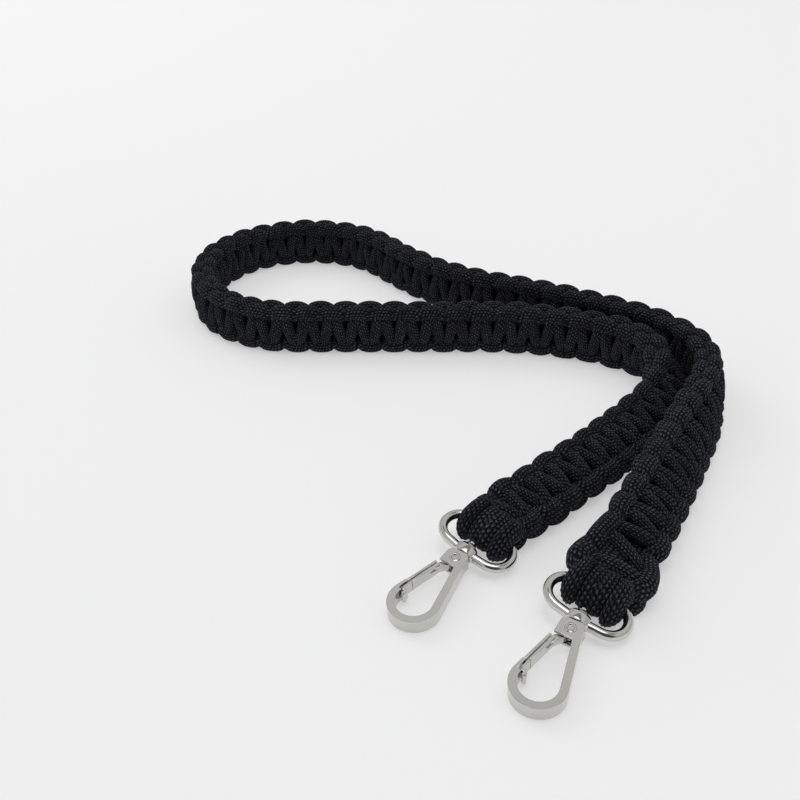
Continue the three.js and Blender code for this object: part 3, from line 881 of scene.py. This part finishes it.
class STRAP_OT_rings(bpy.types.Operator):
    """Build the two cast eye rings with their swivel boss."""

    bl_idname = "strap.rings"
    bl_label = "Eye rings"

    def execute(self, context):
        course = Course(context.scene.strap_braid)
        middle = Matrix.Translation((0, -RING_DEPTH - BOSS_FORWARD, 0))
        for number in (1, 2):
            ring = solid_object(f"cast_ring_{number}", *self.wire())
            boss = solid_object("boss", *turned(self.boss_profile(), 56))
            boss.data.transform(middle @ Matrix.Scale(BOSS_WIDTH / BOSS_HEIGHT, 4, (1, 0, 0)))
            cut(ring, boss, "UNION")
            bore = solid_object("bore", *turned([(-9, BORE_RADIUS), (9, BORE_RADIUS)]))
            bore.data.transform(middle)
            cut(ring, bore)
            finish_metal(ring, ring_frame(course, number), "strap_with_rings", f"eye_ring_{number}",
                         RING_SHARP_FROM)
        return {"FINISHED"}

    def boss_profile(self):
        """The boss from front to back: a barrel with a rounded front edge and a collar behind."""
        radius = BOSS_HEIGHT / 2
        front = ((0, 0.35), (0.25, 0.08), (0.6, 0))
        back = ((1.2, 0), (1.0, 0.12), (0.75, 0.4), (0.2, 0.5), (0, 0.75))
        rows = [(from_front - BOSS_FRONT, radius - thinner) for from_front, thinner in front]
        return rows + [(BOSS_BACK - from_back, radius - thinner) for from_back, thinner in back]

    def wire(self, sides=24, corner_steps=12, front_steps=40):
        """The oval wire, which bows forward into the boss."""
        half = RING_WIDTH / 2
        path = []
        corners = ((half, 0, 0), (-half, 0, 90), (-half, -RING_DEPTH, 180), (half, -RING_DEPTH, 270))
        for x, y, start in corners:
            cx = x - math.copysign(RING_CORNER, x)
            cy = y - RING_CORNER if y == 0 else y + RING_CORNER
            for k in range(corner_steps + 1):
                angle = (start + 90 * k / corner_steps) * DEGREE
                path.append((cx + RING_CORNER * math.cos(angle),
                             cy + RING_CORNER * math.sin(angle), angle))
            if start == 180:
                for k in range(1, front_steps):
                    path.append((cx - 2 * cx * k / front_steps, y, 270 * DEGREE))
        points = []
        for x, y, outward in path:
            bow = BOSS_FORWARD * math.exp(-(x / BOSS_BOW) ** 2) if y < -RING_DEPTH + 0.2 else 0
            for k in range(sides):
                turn = 2 * math.pi * k / sides
                reach = WIRE * math.cos(turn)
                points.append((x + reach * math.cos(outward), y + reach * math.sin(outward) - bow,
                               WIRE * math.sin(turn)))
        return points, ring_faces(len(path), len(path), sides)


# Hook and gate, drawn in the hook's own frame

BELLY_Y = TIP_Y + BELLY


def touch_point(start, radius):
    """Where a line from start touches a circle round the belly's middle, on the +X side."""
    to_middle = Vector((0, BELLY_Y)) - start
    reach = to_middle.length
    along = math.sqrt(reach * reach - radius * radius)
    direction = math.atan2(to_middle.y, to_middle.x) + math.asin(radius / reach)
    return start + along * Vector((math.cos(direction), math.sin(direction)))


OUTER_TOP = Vector((HEAD_WIDTH / 2 + SHOULDER, HEAD_FOOT_Y))
INNER_TOP = Vector((OUTER_TOP.x - BAR, HEAD_FOOT_Y))
OUTER_TOUCH = touch_point(OUTER_TOP, BELLY)
INNER_TOUCH = touch_point(INNER_TOP, BELLY - BAR)
SIDE_TOP = Vector((-OUTER_TOP.x, OUTER_TOP.y))
SIDE_TOUCH = Vector((-OUTER_TOUCH.x, OUTER_TOUCH.y))
SIDE_UP = (SIDE_TOP - SIDE_TOUCH).normalized()
SIDE_IN = Vector((SIDE_UP.y, -SIDE_UP.x))
SIDE_LENGTH = (SIDE_TOP - SIDE_TOUCH).length


def along_side(distance, inward):
    """A place on the gate's side of the hook, from where the side leaves the belly's curve."""
    return SIDE_TOUCH + distance * SIDE_UP + inward * SIDE_IN


def arc(radius, start, end, steps=56):
    """Points from one angle to another round the belly's middle."""
    rows = []
    for k in range(steps + 1):
        angle = start + (end - start) * k / steps
        rows.append((radius * math.cos(angle), BELLY_Y + radius * math.sin(angle)))
    return rows


def angle_at(point):
    return math.atan2(point[1] - BELLY_Y, point[0])


def angle_below(point):
    """A point's angle round the belly's middle, counted through the belly's bottom."""
    angle = angle_at(point)
    return angle - 2 * math.pi if angle > 0 else angle


def hook_outline():
    top = HEAD_WIDTH / 2
    chamfer_y = HEAD_END_Y - HEAD_CHAMFER
    rows = [tuple(along_side(NOSE_LENGTH, 0))]
    rows += arc(BELLY, angle_below(SIDE_TOUCH), angle_at(OUTER_TOUCH))
    rows += [tuple(OUTER_TOP), (top, OUTER_TOP.y + SHOULDER_RISE), (top, chamfer_y)]
    rows += [(top - HEAD_CHAMFER, HEAD_END_Y), (HEAD_CHAMFER - top, HEAD_END_Y), (-top, chamfer_y)]
    rows += [(-top, HEAD_FOOT_Y), tuple(INNER_TOP)]
    rows += arc(BELLY - BAR, angle_at(INNER_TOUCH), angle_below(along_side(0, BAR)))
    rows += [tuple(along_side(0, NOSE_WIDTH)), tuple(along_side(NOSE_LENGTH, NOSE_WIDTH))]
    return rows


def stood_up(piece, x, y):
    """The turned piece with its axis upright at a place."""
    piece.data.transform(Matrix.Translation((x, y, 0)) @ Matrix.Rotation(math.pi / 2, 4, "X"))
    return piece


class STRAP_OT_hooks(bpy.types.Operator):
    """Build the two flat hooks with slotted head, rivet and swivel post."""

    bl_idname = "strap.hooks"
    bl_label = "Hooks"

    def execute(self, context):
        bodies = {1: "first_hook", 2: "second_hook"}
        for number, body in bodies.items():
            half = HOOK_THICKNESS / 2
            body_piece = solid_object("frame", *extruded(hook_outline(), -half, half))
            edge = EYE_RADIUS + RUNNING
            slot = solid_object("slot", *block(-HEAD_WIDTH, edge, HEAD_FOOT_Y - SLOT_FOOT, RIVET_Y + edge,
                                               -SLOT_HEIGHT / 2, SLOT_HEIGHT / 2))
            cut(body_piece, slot)
            round_edges(body_piece, HOOK_ROUNDING)
            hook = join(f"plated_hook_{number}", [body_piece, self.rivet(), self.post()])
            finish_metal(hook, hook_frame(number), body, f"hook_{number}", HOOK_SHARP_FROM)
        return {"FINISHED"}

    def rivet(self):
        """The gate's pin with a dished, raised head on both faces."""
        face = HOOK_THICKNESS / 2
        high = face + RIVET_STAND
        dish = [(face - 0.02, 0.6), (face + 0.02, 0.85), (high - 0.06, 1.05), (high, 1.2), (high, 1.45),
                (high - 0.08, 1.62), (face + 0.05, RIVET_RADIUS), (face - 0.4, RIVET_RADIUS),
                (face - 0.4, PIN_RADIUS)]
        profile = [(-place, radius) for place, radius in dish] + list(reversed(dish))
        return stood_up(solid_object("rivet", *turned(profile, 36)), 0, RIVET_Y)

    def post(self):
        """The swivel post, which runs through the boss to a domed head behind it."""
        start = BOSS_BACK + POST_GAP
        end = start + POST_HEAD_LENGTH
        profile = [(HEAD_END_Y - SLOT_WALL, POST_RADIUS), (start, POST_RADIUS), (start, POST_HEAD - 0.15),
                   (start + 0.15, POST_HEAD), (end - 0.55, POST_HEAD), (end - 0.15, POST_HEAD - 0.4),
                   (end, POST_HEAD - 0.95)]
        return solid_object("post", *turned(profile, 32))


class STRAP_OT_gates(bpy.types.Operator):
    """Build the two sprung gates: folded channel, eye on the pin, tongue, bead and coil spring."""

    bl_idname = "strap.gates"
    bl_label = "Gates"

    def execute(self, context):
        bodies = {1: "first_gate", 2: "second_gate"}
        for number, body in bodies.items():
            parts = [self.channel(), self.neck(), self.bead(), self.spring()]
            parts += self.tongue()
            for side in (-1, 1):
                parts.append(self.lug(side))
            gate = join(f"plated_gate_{number}", parts)
            finish_metal(gate, hook_frame(number), body, f"gate_{number}", HOOK_SHARP_FROM)
        return {"FINISHED"}

    def side_piece(self, outline, start, end, name):
        """A bar along the side line with an outline in (inward, height)."""
        straight, faces = extruded(outline, start, end)
        points = [(*along_side(distance, inward), height) for inward, height, distance in straight]
        piece = solid_object(name, points, faces)
        round_edges(piece, GATE_ROUNDING, 2)
        return piece

    def channel(self):
        """The folded lever, with a groove along both faces."""
        half = GATE_THICKNESS / 2
        groove = ((GROOVE_NEAR, half), (GROOVE_NEAR, half - GROOVE_DEPTH),
                  (GROOVE_FAR, half - GROOVE_DEPTH), (GROOVE_FAR, half))
        outline = [(0, half)] + list(groove) + [(GATE_WIDTH, half), (GATE_WIDTH, -half)]
        outline += [(inward, -height) for inward, height in reversed(groove)] + [(0, -half)]
        return self.side_piece(outline, NOSE_LENGTH + TOUCHING, SIDE_LENGTH - 3 * RUNNING, "channel")

    def box_outline(self, low, high):
        half = GATE_THICKNESS / 2
        return [(low, half), (high, half), (high, -half), (low, -half)]

    def tongue(self):
        """The lever's thin end behind the nose, and the step that carries the bead."""
        front = NOSE_WIDTH + TOUCHING
        inward = BAR + TOUCHING + BEAD_RADIUS
        top = NOSE_LENGTH + TOUCHING + BEAD_RADIUS
        step = TOUCHING + TONGUE_SHOULDER
        return [self.side_piece(self.box_outline(front, GATE_WIDTH), TOUCHING, top, "tongue"),
                self.side_piece(self.box_outline(front, inward), TOUCHING, step, "step")]

    def neck(self):
        """The narrow bar from the lever into the slot, up to the eye."""
        foot = along_side(SIDE_LENGTH - 3 * RUNNING - GATE_WIDTH, GATE_WIDTH / 2)
        top = Vector((GATE_WIDTH / 2 - EYE_RADIUS, RIVET_Y + 0.4 - EYE_RADIUS))
        run = top - foot
        side = Vector((-run.y, run.x)).normalized() * GATE_WIDTH / 2
        outline = [tuple(foot + side), tuple(foot - side), tuple(top - side), tuple(top + side)]
        half = SLOT_HEIGHT / 2 - RUNNING
        piece = solid_object("neck", *extruded(outline, -half, half))
        round_edges(piece, NECK_ROUNDING, 2)
        return piece

    def lug(self, side):
        """One of the two eyes round the pin."""
        half = SLOT_HEIGHT / 2 - RUNNING
        low, high = (half - LUG_THICKNESS, half) if side > 0 else (-half, LUG_THICKNESS - half)
        hole = PIN_RADIUS + RUNNING
        profile = [(low, hole), (low, EYE_RADIUS), (high, EYE_RADIUS), (high, hole)]
        return stood_up(solid_object("lug", *turned(profile, 40)), 0, RIVET_Y)

    def bead(self):
        half = GATE_THICKNESS / 2
        profile = [(-half, BEAD_RADIUS - 0.2), (0.15 - half, BEAD_RADIUS), (half - 0.15, BEAD_RADIUS),
                   (half, BEAD_RADIUS - 0.2)]
        place = along_side(NOSE_LENGTH - BEAD_REACH, BAR + TOUCHING + BEAD_RADIUS)
        return stood_up(solid_object("bead", *turned(profile, 40)), place.x, place.y)

    def spring(self):
        """A coil round the pin with a leg that presses on the channel."""
        steps = 60
        start = 0.6
        path = []
        for k in range(steps + 1):
            angle = 2 * math.pi * COIL_TURNS * k / steps + start
            path.append((COIL_RADIUS * math.cos(angle), RIVET_Y + COIL_RADIUS * math.sin(angle),
                         COIL_RISE * k / steps - COIL_RISE / 2))
        foot = along_side(SIDE_LENGTH - 4.5, GATE_WIDTH + 0.15)
        coil_end = Vector(path[-1])
        for share in (0.25, 0.5, 0.75, 1.0):
            path.append(tuple(coil_end.lerp(Vector((foot.x, foot.y, 0.3)), share)))
        centre = np.array(path)
        tube = new_rows()
        across = centre - np.array([0, RIVET_Y, 0])
        radius = np.full(len(path), COIL_WIRE)
        sweep(tube, centre, across, radius, radius, radius, 4)
        return solid_object("spring", np.vstack(tube["points"]), tube["faces"])


# Stage, in metres: half the table's side, the camera's place, and the window's place, aim and side
TABLE_REACH = 4.0
CAMERA_PLACE = (-0.014034, -0.286851)
WINDOW_PLACE = (-0.9, 0.9, 1.0)
WINDOW_AIM = (0.05, -0.02, 0)
WINDOW_SIDE = 0.8

# Room light by the height of the direction, from the horizon at 0 to straight up at 1, and its grey
SKY = ((0.0, 0.78), (0.3, 0.55), (0.55, 0.5), (0.76, 0.66), (0.87, 0.68), (0.9, 0.16), (0.94, 0.22),
       (0.96, 2.3), (1.0, 2.5))

# The dark shape that the metal mirrors: its direction, the half angles of its rim in degrees, and its grey
DARK_SHAPE = (0.0, -0.84, 0.54)
DARK_RIM = (34, 24)
DARK_GREY = 0.12


class STRAP_OT_stage(bpy.types.Operator):
    """Lay the pale table, set the soft light and place the camera."""

    bl_idname = "strap.stage"
    bl_label = "Table, light and camera"

    def execute(self, context):
        stage = context.scene.strap_stage
        look = context.scene.strap_look
        mesh = bpy.data.meshes.new("table")
        grid = bmesh.new()
        bmesh.ops.create_grid(grid, x_segments=1, y_segments=1, size=TABLE_REACH)
        grid.to_mesh(mesh)
        grid.free()
        table = new_object("table", mesh)
        material = bpy.data.materials.new("pale table")
        material.use_nodes = True
        set_inputs(material.node_tree.nodes["Principled BSDF"], {
            "Base Color": look.table, "Roughness": 0.7, "Emission Color": (1, 1, 1, 1),
            "Emission Strength": stage.table_glow})
        mesh.materials.append(material)
        world = bpy.data.worlds.new("even light")
        world.use_nodes = True
        self.sky(world.node_tree, stage.world_light)
        context.scene.world = world
        self.area_light("window", WINDOW_PLACE, WINDOW_AIM, WINDOW_SIDE, stage.window_light)
        data = bpy.data.cameras.new("camera")
        data.lens = stage.lens
        data.sensor_width = 36
        data.clip_start = 0.01
        camera = new_object("camera", data)
        camera.location = (*CAMERA_PLACE, stage.camera_height)
        camera.rotation_euler = (math.pi / 2 - stage.camera_pitch, 0, 0)
        context.scene.camera = camera
        context.scene.view_settings.view_transform = "Standard"
        return {"FINISHED"}

    def sky(self, tree, strength):
        """Room light: white ceiling, a dark edge below it, grey walls, and one dark shape in front."""
        place = tree.nodes.new("ShaderNodeTexCoord")
        split = tree.nodes.new("ShaderNodeSeparateXYZ")
        tree.links.new(place.outputs["Generated"], split.inputs[0])
        ramp = tree.nodes.new("ShaderNodeValToRGB")
        tree.links.new(split.outputs[2], ramp.inputs[0])
        for index, (height, grey) in enumerate(SKY):
            stop = ramp.color_ramp.elements[index] if index < 2 else ramp.color_ramp.elements.new(height)
            stop.position = height
            stop.color = (grey, grey, grey * 1.01, 1)
        towards = tree.nodes.new("ShaderNodeVectorMath")
        towards.operation = "DOT_PRODUCT"
        towards.inputs[1].default_value = DARK_SHAPE
        tree.links.new(place.outputs["Generated"], towards.inputs[0])
        rim = tree.nodes.new("ShaderNodeMapRange")
        start, end = (math.cos(angle * DEGREE) for angle in DARK_RIM)
        set_inputs(rim, {"From Min": start, "From Max": end, "To Min": 1.0, "To Max": DARK_GREY})
        tree.links.new(towards.outputs["Value"], rim.inputs["Value"])
        shade = tree.nodes.new("ShaderNodeVectorMath")
        shade.operation = "SCALE"
        tree.links.new(ramp.outputs[0], shade.inputs[0])
        tree.links.new(rim.outputs[0], shade.inputs["Scale"])
        background = tree.nodes["Background"]
        tree.links.new(shade.outputs[0], background.inputs[0])
        background.inputs[1].default_value = strength

    def area_light(self, name, place, target, size, power):
        data = bpy.data.lights.new(name, "AREA")
        data.shape = "SQUARE"
        data.size = size
        data.energy = power
        lamp = new_object(name, data)
        lamp.location = place
        aim = Vector(target) - Vector(place)
        lamp.rotation_euler = aim.to_track_quat("-Z", "Y").to_euler()
        lamp.visible_glossy = False


class STRAP_PT_panel(bpy.types.Panel):
    """Lists the pieces and their settings."""

    bl_idname = "STRAP_PT_panel"
    bl_label = "Neck strap"
    bl_space_type = "VIEW_3D"
    bl_region_type = "UI"
    bl_category = "Neck strap"

    def draw(self, context):
        layout = self.layout
        for group in ("strap_braid", "strap_look", "strap_stage"):
            settings = getattr(context.scene, group)
            box = layout.box()
            for key in settings.__annotations__:
                box.prop(settings, key)
        for operator in OPERATORS:
            layout.operator(operator.bl_idname)


OPERATORS = (STRAP_OT_braid, STRAP_OT_core, STRAP_OT_rings, STRAP_OT_hooks, STRAP_OT_gates, STRAP_OT_stage)
GROUPS = (("strap_braid", BraidSettings), ("strap_look", LookSettings), ("strap_stage", StageSettings))


def register():
    for name, group in GROUPS:
        bpy.utils.register_class(group)
        setattr(bpy.types.Scene, name, PointerProperty(type=group))
    for operator in OPERATORS:
        bpy.utils.register_class(operator)
    bpy.utils.register_class(STRAP_PT_panel)


def unregister():
    bpy.utils.unregister_class(STRAP_PT_panel)
    for operator in reversed(OPERATORS):
        bpy.utils.unregister_class(operator)
    for name, group in reversed(GROUPS):
        delattr(bpy.types.Scene, name)
        bpy.utils.unregister_class(group)


def main():
    register()
    bpy.ops.strap.braid()
    bpy.ops.strap.core()
    bpy.ops.strap.rings()
    bpy.ops.strap.hooks()
    bpy.ops.strap.gates()
    bpy.ops.strap.stage()


if __name__ == "__main__":
    main()
